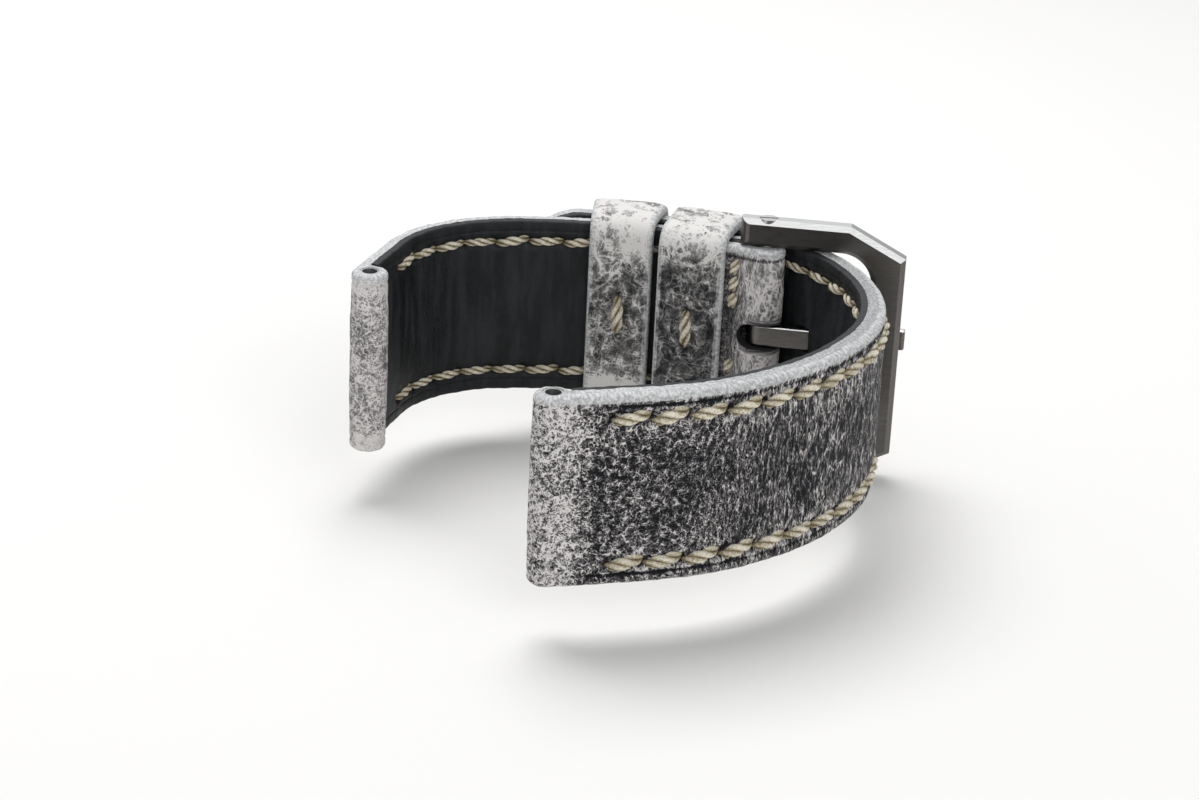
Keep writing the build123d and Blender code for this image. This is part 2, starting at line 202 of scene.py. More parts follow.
class Graph:
    """Short hand for node trees: each call adds a node and returns the node, its output or its outputs."""

    def __init__(self, tree):
        self.tree = tree

    def node(self, kind, inputs=(), **settings):
        made = self.tree.nodes.new(kind)
        for key, value in settings.items():
            setattr(made, key, value)
        for key, value in (inputs.items() if isinstance(inputs, dict) else enumerate(inputs)):
            if isinstance(value, bpy.types.NodeSocket):
                self.tree.links.new(value, made.inputs[key])
            else:
                made.inputs[key].default_value = value
        return made

    def math(self, operation, *values, clamp=False):
        return self.node("ShaderNodeMath", values, operation=operation, use_clamp=clamp).outputs[0]

    def vector(self, operation, *values):
        return self.node("ShaderNodeVectorMath", values, operation=operation).outputs[0]

    def ramp(self, value, low, high, to_low=0.0, to_high=1.0):
        """Smooth change from to_low at low to to_high at high."""
        return self.node("ShaderNodeMapRange", (value, low, high, to_low, to_high),
                         interpolation_type="SMOOTHSTEP").outputs[0]

    def plus(self, base, value, gain):
        """base + value * gain"""
        return self.math("ADD", base, self.math("MULTIPLY", value, gain))

    def combine(self, **parts):
        return self.node("ShaderNodeCombineXYZ", parts).outputs[0]

    def separate(self, vector):
        return self.node("ShaderNodeSeparateXYZ", [vector]).outputs

    def scale(self, vector, factor):
        return self.node("ShaderNodeVectorMath", {0: vector, "Scale": factor}, operation="SCALE").outputs[0]

    def place(self):
        """X, Y and Z of each point of a geometry."""
        return self.separate(self.node("GeometryNodeInputPosition").outputs[0])

    def move(self, geometry, position):
        return self.node("GeometryNodeSetPosition", {"Geometry": geometry, "Position": position}).outputs[0]

    def store(self, geometry, name, value, kind):
        inputs = {"Geometry": geometry, "Name": name, "Value": value}
        return self.node("GeometryNodeStoreNamedAttribute", inputs, data_type=kind).outputs[0]

    def random(self, low, high, seed):
        """A number between two for each point."""
        inputs = {2: low, 3: high, "Seed": seed}
        return self.node("FunctionNodeRandomValue", inputs, data_type="FLOAT").outputs[1]

    def mix(self, share, first, second):
        """A colour between two."""
        return self.node("ShaderNodeMix", {0: share, 6: first, 7: second}, data_type="RGBA").outputs[2]

    def noise(self, vector, scale, detail=2.0, roughness=0.5):
        return self.node("ShaderNodeTexNoise", {"Vector": vector, "Scale": scale, "Detail": detail,
                                                "Roughness": roughness}).outputs

    def cracks(self, vector, scale):
        """Distance to the nearest edge between random cells."""
        return self.node("ShaderNodeTexVoronoi", {"Vector": vector, "Scale": scale},
                         feature="DISTANCE_TO_EDGE").outputs[0]


def geometry_tree(name, sockets):
    """A new tree with its named inputs, and the Graph and group input that build it."""
    tree = bpy.data.node_groups.new(name, "GeometryNodeTree")
    tree.interface.new_socket("Geometry", in_out="OUTPUT", socket_type="NodeSocketGeometry")
    for label, kind, value in sockets:
        socket = tree.interface.new_socket(label, in_out="INPUT", socket_type=kind)
        if value is not None:
            socket.default_value = value
    graph = Graph(tree)
    return tree, graph, graph.node("NodeGroupInput").outputs


def set_inputs(piece, tree, values):
    """Puts a tree on a piece, with values for its named inputs."""
    modifier = piece.modifiers.new(tree.name, "NODES")
    modifier.node_group = tree
    for item in tree.interface.items_tree:
        if item.in_out == "INPUT" and item.name in values:
            modifier[item.identifier] = values[item.name]


def finish_mesh(piece, sharp=HIDE_SHARP):
    """Turns the evaluated piece into plain mesh, shaded smooth up to an angle unless that is None."""
    graph = bpy.context.evaluated_depsgraph_get()
    mesh = bpy.data.meshes.new_from_object(piece.evaluated_get(graph), preserve_all_data_layers=True,
                                           depsgraph=graph)
    piece.modifiers.clear()
    piece.data = mesh
    mesh.name = piece.name
    if sharp is not None:
        mesh.polygons.foreach_set("use_smooth", [True] * len(mesh.polygons))
        mesh.set_sharp_from_angle(angle=radians(sharp))
    return piece


def on_path(g, path, station):
    """Position, travel direction and outward side on a bent line at a station, in metres."""
    curve = g.node("GeometryNodeObjectInfo", {"Object": path}).outputs["Geometry"]
    sample = g.node("GeometryNodeSampleCurve", {"Curves": curve, "Length": station}, mode="LENGTH")
    travel = sample.outputs["Tangent"]
    side = g.vector("CROSS_PRODUCT", travel, (0, 0, 1))
    return sample.outputs["Position"], travel, side


def make_bend_tree():
    """Bends a flat cut piece along its line: X is the station, -Y the way out, Z the height."""
    tree, g, given = geometry_tree("bend_along_line", [
        ("Flat piece", "NodeSocketGeometry", None), ("Line", "NodeSocketObject", None),
        ("Lead", "NodeSocketFloat", LEAD * MM), ("Middle", "NodeSocketFloat", MIDDLE * MM)])
    along, across, up = g.place()
    position, _, side = on_path(g, given["Line"], g.math("ADD", along, given["Lead"]))
    out = g.scale(side, g.math("MULTIPLY", across, -1.0))
    lifted = g.combine(Z=g.math("ADD", up, given["Middle"]))
    bent = g.vector("ADD", g.vector("ADD", position, out), lifted)
    g.node("NodeGroupOutput", [g.move(given["Flat piece"], bent)])
    return tree


def make_stitch_tree():
    """A row of three-ply saddle stitches on a face of a bent piece."""
    tree, g, given = geometry_tree("saddle_stitches", [
        ("Line", "NodeSocketObject", None), ("Count", "NodeSocketInt", 10),
        ("First station", "NodeSocketFloat", 0.0), ("Height", "NodeSocketFloat", 0.0),
        ("Face", "NodeSocketFloat", 0.0), ("Out", "NodeSocketFloat", 1.0),
        ("Pitch along", "NodeSocketFloat", STITCH_PITCH * MM), ("Pitch up", "NodeSocketFloat", 0.0),
        ("Length", "NodeSocketFloat", 5.4 * MM), ("Ply", "NodeSocketFloat", 0.46 * MM),
        ("Lay", "NodeSocketFloat", 0.46 * MM), ("Sink", "NodeSocketFloat", 1.0 * MM),
        ("Turns", "NodeSocketFloat", 0.95), ("Lean", "NodeSocketFloat", 0.0),
        ("Unevenness", "NodeSocketFloat", 0.13), ("Seed", "NodeSocketInt", 1),
        ("Thread", "NodeSocketMaterial", None)])
    rings = 17
    share = g.math("DIVIDE", g.node("GeometryNodeInputIndex").outputs[0], float(rings - 1))
    from_middle = g.math("ABSOLUTE", g.math("SUBTRACT", g.math("MULTIPLY", share, 2.0), 1.0))
    swell = g.math("SQRT", g.math("SUBTRACT", 1.0, g.math("POWER", from_middle, 1.8)))
    dive = g.math("POWER", from_middle, 4.0)
    plies = []
    for start in (0.0, 2 * pi / 3, 4 * pi / 3):
        turned = g.math("ADD", g.math("MULTIPLY", g.math("MULTIPLY", share, given["Turns"]), 2 * pi), start)
        lay = g.math("MULTIPLY", given["Lay"], g.plus(0.15, swell, 0.85))
        x = g.math("MULTIPLY", g.math("SUBTRACT", share, 0.5), given["Length"])
        y = g.math("MULTIPLY", g.math("COSINE", turned), lay)
        z = g.math("MULTIPLY", g.math("SINE", turned), g.math("MULTIPLY", lay, 0.85))
        z = g.math("SUBTRACT", z, g.math("MULTIPLY", dive, given["Sink"]))
        line = g.node("GeometryNodeMeshLine", {"Count": rings}).outputs[0]
        ply = g.node("GeometryNodeMeshToCurve", [line]).outputs[0]
        ply = g.move(ply, g.combine(X=x, Y=y, Z=z))
        profile = g.node("GeometryNodeCurvePrimitiveCircle", {"Resolution": 8, "Radius": given["Ply"]})
        thick = g.plus(0.25, swell, 0.75)
        tube = g.node("GeometryNodeCurveToMesh", {"Curve": ply, "Profile Curve": profile.outputs[0],
                                                  "Fill Caps": True, "Scale": thick})
        plies.append(tube.outputs[0])
    join = g.node("GeometryNodeJoinGeometry")
    for ply in plies:
        g.tree.links.new(ply, join.inputs[0])
    along, sideways, up = g.place()
    past = g.math("DIVIDE", g.math("MULTIPLY", along, 2.0), given["Length"])
    up = g.plus(up, g.math("POWER", g.math("ABSOLUTE", past), 4.0), given["Sink"])
    radius = g.math("SQRT", g.math("ADD", g.math("MULTIPLY", sideways, sideways), g.math("MULTIPLY", up, up)))
    # How far out from the stitch's axis, which the thread's painted highlight and shade follow.
    crown = g.math("DIVIDE", radius, g.math("ADD", given["Lay"], given["Ply"]))
    stitch = g.store(join.outputs[0], "crown", crown, "FLOAT")
    gap = g.combine(X=given["Pitch along"], Z=given["Pitch up"])
    start = g.combine(X=given["First station"], Y=given["Face"], Z=given["Height"])
    row = g.node("GeometryNodeMeshLine", {"Count": given["Count"], "Start Location": start, "Offset": gap})
    along, across, up = g.place()
    position, travel, side = on_path(g, given["Line"], g.math("ADD", along, LEAD * MM))
    out = g.scale(side, across)
    facing = g.scale(side, given["Out"])
    lifted = g.combine(Z=g.math("ADD", up, MIDDLE * MM))
    points = row.outputs[0]
    for label, value in (("travel", travel), ("facing", facing)):
        points = g.store(points, label, value, "FLOAT_VECTOR")
    bent = g.vector("ADD", g.vector("ADD", position, out), lifted)
    points = g.move(points, bent)
    read = [g.node("GeometryNodeInputNamedAttribute", {"Name": label}, data_type="FLOAT_VECTOR").outputs[0]
            for label in ("travel", "facing")]
    turn = g.node("FunctionNodeAxesToRotation", {"Primary Axis": read[1], "Secondary Axis": read[0]},
                  primary_axis="Z", secondary_axis="X").outputs[0]
    most = given["Unevenness"]
    uneven = g.random(g.math("MULTIPLY", most, -1.0), most, given["Seed"])
    lean = g.combine(Z=g.math("ADD", given["Lean"], uneven))
    turn = g.node("FunctionNodeRotateRotation", {"Rotation": turn, "Rotate By": lean},
                  rotation_space="LOCAL").outputs[0]
    plump = g.random(0.88, 1.08, given["Seed"])
    size = g.combine(X=1.0, Y=plump, Z=plump)
    stitches = g.node("GeometryNodeInstanceOnPoints", {"Points": points, "Instance": stitch, "Rotation": turn,
                                                       "Scale": size}).outputs[0]
    real = g.node("GeometryNodeRealizeInstances", [stitches]).outputs[0]
    smooth = g.node("GeometryNodeSetShadeSmooth", [real]).outputs[0]
    done = g.node("GeometryNodeSetMaterial", {"Geometry": smooth, "Material": given["Thread"]}).outputs[0]
    g.node("NodeGroupOutput", [done])
    return tree


def finish_tree(name):
    """A new material, with the Graph and the shader that build it."""
    material = bpy.data.materials.new(name)
    material.use_nodes = True
    g = Graph(material.node_tree)
    return material, g, material.node_tree.nodes["Principled BSDF"]


def connect(g, shader, colour, roughness, height, depth):
    """Colour, roughness and relief into a shader, with the relief's depth in metres."""
    g.tree.links.new(colour, shader.inputs["Base Color"])
    if isinstance(roughness, bpy.types.NodeSocket):
        g.tree.links.new(roughness, shader.inputs["Roughness"])
    else:
        shader.inputs["Roughness"].default_value = roughness
    bump = g.node("ShaderNodeBump", {"Strength": 1.0, "Distance": depth, "Height": height})
    g.tree.links.new(bump.outputs[0], shader.inputs["Normal"])


def hide_place(g):
    """Place on the flat hide in millimetres, from the piece's own map."""
    place = g.node("ShaderNodeUVMap", uv_map="hide").outputs[0]
    return g.node("ShaderNodeMapping", {"Vector": place, "Scale": (100, 100, 100)}).outputs[0]


def mark(g, name):
    """How far a place has one of the marks that write_marks gives it, from 0 to 1."""
    return g.node("ShaderNodeAttribute", attribute_name=name, attribute_type="GEOMETRY").outputs["Fac"]


def vintage_hide(name, grain=1.0, base=0.0, gains=(1.9, 2.1, 0.95), pale=(0.66, 0.63, 0.62, 1)):
    """Waxed charcoal hide crazed by fine pale cracks, worn pale at folds, with a pale cut edge that is wider
    along the top as painted highlight, and painted shade in its crease lines and stitch slits.

    The tone runs from 0, charcoal, to 1, pale: base plus grit, blotches and veins, each by its gain.
    """
    material, g, shader = finish_tree(name)
    flat = hide_place(g)
    drawn = mark(g, "stretch")
    pulled = g.vector("MULTIPLY", flat, g.combine(X=g.plus(1.0, drawn, 0.45), Y=g.plus(1.0, drawn, -0.6)))
    sway = g.vector("SUBTRACT", g.noise(pulled, 1.4 * grain, 2.0, 0.5)[1], (0.5, 0.5, 0.5))
    warped = g.vector("ADD", pulled, g.vector("MULTIPLY", sway, (1.0 / grain, 1.0 / grain, 0.0)))
    web = g.ramp(g.cracks(warped, 1.25 * grain), 0.0, 0.09, 1.0, 0.0)
    net = g.ramp(g.cracks(warped, 2.3 * grain), 0.0, 0.14, 0.75, 0.0)
    gate = g.ramp(g.noise(pulled, 0.8 * grain, 3.0, 0.65)[0], 0.34, 0.60, 0.1, 1.0)
    veins = g.math("MULTIPLY", g.math("MAXIMUM", web, net), gate)
    wrinkle = g.ramp(g.cracks(warped, 0.34 * grain), 0.0, 0.03, 0.8, 0.0)
    veins = g.math("MAXIMUM", veins, wrinkle)
    grit = g.noise(pulled, 3.7, 2.0, 0.6)[0]
    blotch = g.noise(pulled, 1.25 * grain, 2.0, 0.6)[0]
    zone = g.noise(flat, 0.14 * grain, 2.0, 0.6)[0]
    fine, coarse, vein = gains
    tone = g.math("MULTIPLY", veins, vein)
    for field, gain in ((grit, fine), (blotch, coarse), (zone, 0.9)):
        tone = g.plus(tone, g.math("SUBTRACT", field, 0.5), gain)
    # Paler where worn; on the keepers' tops this is also painted highlight.
    tone = g.plus(tone, mark(g, "worn"), 0.6)
    # Painted shade darkens the crease lines along the edges.
    tone = g.plus(tone, mark(g, "crease"), -1.1)
    tone = g.math("ADD", tone, base, clamp=True)
    contrast = 30.0
    share = g.math("DIVIDE", g.math("SUBTRACT", g.math("POWER", contrast, tone), 1.0), contrast - 1.0)
    colour = g.mix(share, (0.006, 0.0065, 0.009, 1), pale)
    fibre = g.noise(flat, 2.4, 4.0, 0.7)[0]
    # The pale cut edge: the raw edge's own colour, widened along the top edge as painted highlight.
    cut = g.mix(g.ramp(fibre, 0.36, 0.64), (0.34, 0.345, 0.35, 1), (0.66, 0.66, 0.655, 1))
    ragged = g.math("ADD", mark(g, "cut"), g.math("SUBTRACT", blotch, 0.5))
    colour = g.mix(g.ramp(ragged, 0.3, 0.7), colour, cut)
    # Painted shade: the stitch slits and the keeper's stitch hole are painted near black.
    colour = g.mix(mark(g, "pit"), colour, (0.005, 0.0045, 0.004, 1))
    soft = g.plus(1.0, mark(g, "cut"), -0.6)
    relief = g.math("MULTIPLY", g.plus(tone, fibre, 0.5), soft)
    connect(g, shader, colour, g.ramp(grit, 0.3, 0.7, 0.5, 0.72), relief, 0.1 * MM)
    shader.inputs["Specular IOR Level"].default_value = 0.1
    return material


def black_lining():
    """Smooth black calf with soft upright creases."""
    material, g, shader = finish_tree("black_lining_leather")
    flat = hide_place(g)
    upright = g.node("ShaderNodeMapping", {"Vector": flat, "Scale": (1, 0.18, 1)}).outputs[0]
    folds = g.noise(upright, 0.5, 3.0, 0.55)[0]
    grain = g.cracks(flat, 3.4)
    colour = g.mix(g.ramp(folds, 0.35, 0.7), (0.005, 0.006, 0.007, 1), (0.019, 0.021, 0.023, 1))
    # The lining's cut edge is a little paler, more along the top as painted highlight.
    colour = g.mix(g.math("MULTIPLY", mark(g, "cut"), 0.4), colour, (0.03, 0.03, 0.032, 1))
    # Painted shade: the lining's stitch slits are painted near black.
    colour = g.mix(mark(g, "pit"), colour, (0.003, 0.003, 0.003, 1))
    height = g.plus(folds, g.ramp(grain, 0.0, 0.25), 0.12)
    connect(g, shader, colour, g.ramp(folds, 0.3, 0.7, 0.38, 0.55), height, 0.25 * MM)
    shader.inputs["Specular IOR Level"].default_value = 0.22
    return material


def waxed_thread():
    """Natural linen with painted shade where its plies meet and painted highlight on their crowns, and a
    little soiled.
    """
    material, g, shader = finish_tree("waxed_linen_thread")
    place = g.node("ShaderNodeTexCoord").outputs["Object"]
    fibre = g.noise(place, 3600.0, 3.0, 0.65)[0]
    soil = g.noise(place, 420.0, 2.0, 0.5)[0]
    # Painted highlight on the ply crowns, painted shade towards the axis between the plies.
    crown = g.plus(mark(g, "crown"), g.math("SUBTRACT", fibre, 0.5), 0.9)
    colour = g.mix(g.ramp(crown, 0.58, 0.97), (0.27, 0.22, 0.13, 1), (0.76, 0.71, 0.59, 1))
    # Painted shade, near black, deep between the plies.
    colour = g.mix(g.ramp(mark(g, "crown"), 0.3, 0.7, 1.0, 0.0), colour, (0.03, 0.022, 0.012, 1))
    colour = g.mix(g.ramp(soil, 0.45, 0.75, 0.0, 0.35), colour, (0.30, 0.25, 0.16, 1))
    connect(g, shader, colour, 0.7, fibre, 0.12 * MM)
    shader.inputs["Specular IOR Level"].default_value = 0.25
    return material


def worked_steel(name, tint, scale, roughness):
    """Steel brushed one way, along the axis of the smallest scale."""
    material, g, shader = finish_tree(name)
    place = g.node("ShaderNodeTexCoord").outputs["Object"]
    drawn = g.node("ShaderNodeMapping", {"Vector": place, "Rotation": (0, 0, radians(FRAME_HEADING)),
                                         "Scale": scale}).outputs[0]
    lines = g.noise(drawn, 1.0, 3.0, 0.6)[0]
    colour = g.mix(g.ramp(lines, 0.35, 0.65), tint, tuple(0.85 * part for part in tint[:3]) + (1,))
    connect(g, shader, colour, g.ramp(lines, 0.35, 0.65, roughness, roughness + 0.08), lines, 0.0015 * MM)
    shader.inputs["Metallic"].default_value = 1.0
    return material


def rise(values, low, high):
    """Smooth steps from 0 at low to 1 at high."""
    share = np.clip((values - low) / (high - low), 0, 1)
    return share * share * (3 - 2 * share)


def bell(values, width):
    """A smooth bump of height 1 about 0."""
    return np.exp(-(values / width) ** 2)


def soft_noise(values, seed):
    """A gentle, repeatable wobble of about plus or minus one."""
    starts = np.random.default_rng(seed).uniform(0.0, 2 * pi, 4)
    return sum(np.sin(values * pace + start) for pace, start in zip((0.37, 0.83, 1.51, 2.9), starts)) / 2.6


def new_piece(name, vertices, faces):
    """A mesh piece from vertices in millimetres."""
    mesh = bpy.data.meshes.new(name)
    mesh.from_pydata((np.asarray(vertices, float) * MM).tolist(), [], faces)
    return placed(name, mesh)


def write_marks(piece, marks):
    """Each mark, clipped to between 0 and 1, as an attribute of the piece's points."""
    for label, values in marks.items():
        attribute = piece.data.attributes.new(label, "FLOAT", "POINT")
        attribute.data.foreach_set("value", np.clip(values, 0, 1).astype(np.float32))


def write_place(piece, place):
    """The hide's flat place, 100 mm to the unit, as the piece's own map."""
    mesh = piece.data
    layer = mesh.uv_layers.new(name="hide")
    loops = np.zeros(len(mesh.loops), np.int32)
    mesh.loops.foreach_get("vertex_index", loops)
    layer.data.foreach_set("uv", (np.asarray(place)[loops] / 100.0).astype(np.float32).ravel())


def outward(piece):
    """Turns a closed piece's faces outwards."""
    work = bmesh.new()
    work.from_mesh(piece.data)
    bmesh.ops.recalc_face_normals(work, faces=work.faces)
    work.to_mesh(piece.data)
    work.free()


def carve(piece, cutter):
    """Cuts with another closed piece, which is used up."""
    outward(cutter)
    modifier = piece.modifiers.new("carve", "BOOLEAN")
    modifier.operation = "DIFFERENCE"
    modifier.solver = "EXACT"
    modifier.object = cutter
    finish_mesh(piece, None)
    bpy.data.objects.remove(cutter)


def stitch_ends(first, last):
    """The stations where the stitches of a row meet."""
    return first + STITCH_PITCH * np.arange(int((last - first) / STITCH_PITCH) + 1)


def row_distance(first, last, along):
    """Signed distance to the nearest stitch end, and how far a place is inside the row."""
    ends = stitch_ends(first, last)
    gaps = along[..., None] - ends
    nearest = np.take_along_axis(gaps, np.abs(gaps).argmin(-1)[..., None], -1)[..., 0]
    inside = rise(along, ends[0] - 1.2, ends[0] - 0.3) * (1 - rise(along, ends[-1] + 0.3, ends[-1] + 1.2))
    return nearest, inside


def sheet_relief(along, height, distance, edge, rows, seed):
    """How far the shown face stands out at each place, with its crease, slit and pucker marks; the crease and
    slit marks carry painted shade.
    """
    gap = np.clip(edge - distance, 0, edge)
    out = np.sqrt(edge * edge - gap * gap) - edge
    crease = bell(distance - CREASE, 0.2)
    out = out - CREASE_DEPTH * crease + 0.12 * rise(distance, 4.0, 7.0)
    out = out + WAVE_HEIGHT * soft_noise(along * 1.3 + height * 0.9, seed) * rise(distance, 1.5, 4.0)
    slit = np.zeros_like(out)
    pucker = np.zeros_like(out)
    if rows:
        nearest, inside = row_distance(*rows, along)
        lean = radians(SLIT_LEAN)
        for side in (1, -1):
            up = height - side * ROW
            first = nearest * cos(lean) + up * sin(lean)
            second = up * cos(lean) - nearest * sin(lean)
            slit += inside * bell(first, 1.3) * bell(second, 0.42)
            out -= inside * CHANNEL_DEPTH * bell(up, 0.85) * (0.62 + 0.38 * bell(nearest, 1.0))
            pucker += inside * bell(nearest + 0.3, 0.8) * (bell(up + 1.35, 0.5) + 0.7 * bell(up - 1.4, 0.5))
        out += PUCKER_HEIGHT * pucker - SLIT_DEPTH * slit
    return out, crease, slit, pucker


def shown_rows(first, last, shown, way, corner, step, roll):
    """Rows of the shown face: station and offset, the way out along and across, and the place on the hide."""
    stations = np.linspace(first, last, ceil((last - first) / step) + 1)
    if corner:
        tip = last - corner * (1 - np.sin(np.linspace(0, pi / 2, 24)))
        stations = np.concatenate([stations[stations < last - corner - step / 2], tip])
    if roll is not None:
        stations[np.abs(stations - roll[2]).argmin()] = roll[2]
    offsets, ahead, outwards = (np.full(len(stations), value) for value in (shown, 0.0, way))
    if roll is None:
        return stations, offsets, ahead, outwards, stations
    centre, join, _ = roll
    turns = np.linspace(join, -1.5 * pi, ROLL_STEPS, endpoint=False)
    station = np.concatenate([LUG_ROLL * np.cos(turns), stations])
    offset = np.concatenate([centre + LUG_ROLL * np.sin(turns), offsets])
    ahead = np.concatenate([np.cos(turns), ahead])
    outwards = np.concatenate([np.sin(turns), outwards])
    return station, offset, ahead, outwards, np.concatenate([-LUG_ROLL * (turns + 1.5 * pi), stations])


def cut_sheet(name, first, last, inner, outer, edge=0.3, rows=None, corner=None, rolled=False, flip=False,
              out_face=True, step=0.3, worn=None, stretch=None, seed=1):
    """A flat sheet with eased edges, crease lines and stitch channels, and a bored lug roll if it has one."""
    shown, hidden, way = (outer, inner, 1.0) if out_face else (inner, outer, -1.0)
    roll = None
    if rolled:
        centre = outer - LUG_ROLL
        join = asin(-centre / LUG_ROLL)
        roll = (centre, join, LUG_ROLL * cos(join))
    station, offset, ahead, outwards, along = shown_rows(first, last, shown, way, corner, step, roll)
    inset = np.unique(np.concatenate([edge * (1 - np.cos(np.linspace(0, pi / 2, 7))),
                                      np.linspace(1.2, 1.95, 6), np.linspace(2.25, 4.35, 15),
                                      np.linspace(4.9, HALF_WIDTH, 10)]))
    spread = np.concatenate([HALF_WIDTH - inset, (inset - HALF_WIDTH)[::-1][1:]])
    half = np.full(len(along), HALF_WIDTH)
    if corner:
        reach = np.clip(along - (last - corner), 0, corner)
        half = HALF_WIDTH - corner + np.sqrt(corner * corner - reach * reach)
    height = spread[None, :] * (half / HALF_WIDTH)[:, None]
    far = np.broadcast_to(along[:, None], height.shape)
    distance = HALF_WIDTH - np.abs(height)
    if corner:
        over = np.abs(height) - (HALF_WIDTH - corner)
        past = far - (last - corner)
        rounded = corner - np.hypot(over, past)
        distance = np.where((over > 0) & (past > 0), rounded, np.minimum(distance, last - far))
    distance = np.clip(distance, 0, None)
    out, crease, slit, pucker = sheet_relief(far, height, distance, edge, rows, seed)
    sway = EDGE_SWAY * soft_noise(far * 1.1 + np.sign(height) * 5, seed)
    height = height + sway * bell(distance, 1.6) * np.sign(height)
    flat_x = station[:, None] + ahead[:, None] * out
    flat_out = offset[:, None] + outwards[:, None] * out
    face = np.stack([flat_x, -flat_out, height], -1)
    # The pale cut edge band is wider along the top edge than the bottom: painted highlight over the raw
    # edge's own colour.
    lifted = np.where(height > 0, 1 - rise(distance, 0.55, 1.45), 1 - rise(distance, 0.1, 0.5))
    # The painted shade in the crease lines weakens past 14 mm from the lug end and begins a little nearer the
    # lug end on the lower edge.
    crease = crease * (1 - 0.6 * rise(far, 14.0, 30.0)) * rise(far + 4 * (height < 0), 4.0, 11.0)
    shown_along = last - far if flip else far
    marks = {"cut": lifted, "crease": crease, "pit": slit,
             "worn": 0.9 * pucker + (worn(shown_along, height) if worn else 0),
             "stretch": stretch(shown_along) if stretch else np.zeros_like(out)}
    count, columns = height.shape
    index = np.arange(count * columns).reshape(count, columns)
    meeting_row = 0 if roll is None else int(np.flatnonzero((along > 0) & (station == roll[2]))[0])
    kept = slice(0 if roll is None else meeting_row + 1, None)
    back = np.stack([np.broadcast_to(station[kept, None], height[kept].shape),
                     np.full(height[kept].shape, -hidden), height[kept]], -1)
    back_index = index.size + np.arange(back.shape[0] * columns).reshape(-1, columns)
    if roll is not None:
        back_index = np.vstack([index[:1], back_index])
    faces = grid_faces(index) + grid_faces(back_index)
    paired = index[meeting_row:]
    rim = []
    for side in (0, -1):
        faces += grid_faces(np.stack([paired[:, side], back_index[:, side]], -1))
    faces += grid_faces(np.stack([paired[-1], back_index[-1]], -1))
    if roll is None:
        faces += grid_faces(np.stack([paired[0], back_index[0]], -1))
    else:
        rim, rim_faces = bore(index, meeting_row, station, roll, index.size + back.shape[0] * columns)
        faces += rim_faces
    vertices = np.vstack([face.reshape(-1, 3), back.reshape(-1, 3), np.array(rim).reshape(-1, 3)])
    if flip:
        vertices[:, 0] = last - vertices[:, 0]
    piece = new_piece(name, vertices, faces)
    extra = len(vertices) - index.size
    rim_cut = np.zeros((back.shape[0], columns))
    rim_cut[:, [0, -1]] = 1.0
    rim_cut[-1] = 1.0
    bore_cut = np.ones(extra - back.shape[0] * columns)
    for label, values in marks.items():
        more = np.concatenate([rim_cut.ravel(), bore_cut]) if label == "cut" else np.zeros(extra)
        marks[label] = np.concatenate([values.ravel(), more])
    write_marks(piece, marks)
    deep = abs(shown - hidden) - edge
    place = np.column_stack([vertices[:, 0], vertices[:, 2] + deep * np.sign(vertices[:, 2])])
    place[:index.size] = np.column_stack([shown_along.ravel(), height.ravel()])
    write_place(piece, place)
    outward(piece)
    return piece


def grid_faces(index):
    """The quads of a grid of vertex numbers."""
    a, b, c, d = index[:-1, :-1], index[1:, :-1], index[1:, 1:], index[:-1, 1:]
    return [tuple(int(v) for v in quad) for quad in np.stack([a, b, c, d], -1).reshape(-1, 4)]


def bore(index, meeting_row, station, roll, first):
    """The lug roll's flat ends and the round hole through it, as rim vertices and faces."""
    centre, join, meeting = roll
    ring = meeting_row
    angles = np.linspace(join, -1.5 * pi, ROLL_STEPS, endpoint=False)
    rest = -1.5 * pi - (pi / 2 - join) * station[ROLL_STEPS:ring] / meeting
    angles = np.concatenate([angles, rest])
    rims = []
    faces = []
    for number, (side, top) in enumerate(((0, HALF_WIDTH), (-1, -HALF_WIDTH))):
        rims += [(LUG_HOLE * cos(t), -(centre + LUG_HOLE * sin(t)), top) for t in angles]
        ids = [first + number * ring + k for k in range(ring)]
        ids.append(ids[0])
        for k in range(ring):
            faces.append((int(index[k, side]), int(index[k + 1, side]), ids[k + 1], ids[k]))
        faces.append((int(index[ring, side]), int(index[0, side]), ids[0]))
    for k in range(ring):
        following = (k + 1) % ring
        faces.append((first + k, first + following, first + ring + following, first + ring + k))
    return rims, faces


def punched_hole(station):
    """A round punch through both layers, in flat space."""
    turns = np.linspace(0, 2 * pi, 32, endpoint=False)
    rings = [[(station + HOLE_RADIUS * cos(t), depth, HOLE_RADIUS * sin(t)) for t in turns]
             for depth in (LINING + 2, -TAIL_HIDE - 2)]
    return closed_column("punch", rings)


def closed_column(name, rings):
    """A closed piece between two like outlines."""
    count = len(rings[0])
    faces = [tuple(range(count)), tuple(range(2 * count - 1, count - 1, -1))]
    faces += [(k, (k + 1) % count, (k + 1) % count + count, k + count) for k in range(count)]
    return new_piece(name, rings[0] + rings[1], faces)


def notch_cutter(first, last, half, deep):
    """A round-ended slot through the folded hide, in flat space."""
    sweep = np.linspace(0, pi, 12)
    outline = [(last - half + half * sin(t), half * cos(t)) for t in sweep]
    outline += [(first + half - half * sin(t), -half * cos(t)) for t in sweep]
    return closed_column("notch", [[(x, y, z) for x, z in outline] for y in (-deep, deep)])


def tongue_side(lift, offset):
    """Plan points along one side of the tongue, at a lift in degrees."""
    heading = FRAME_HEADING + lift
    pose = (*beside((*BAR, heading), TONGUE_REST), heading)
    points = [beside(pose, offset)]
    for length, radius in TONGUE_RUNS:
        pieces = 1 if radius is None else 8
        for _ in range(pieces):
            pose = advance(pose, length / pieces, radius)
            points.append(beside(pose, offset))
    return points


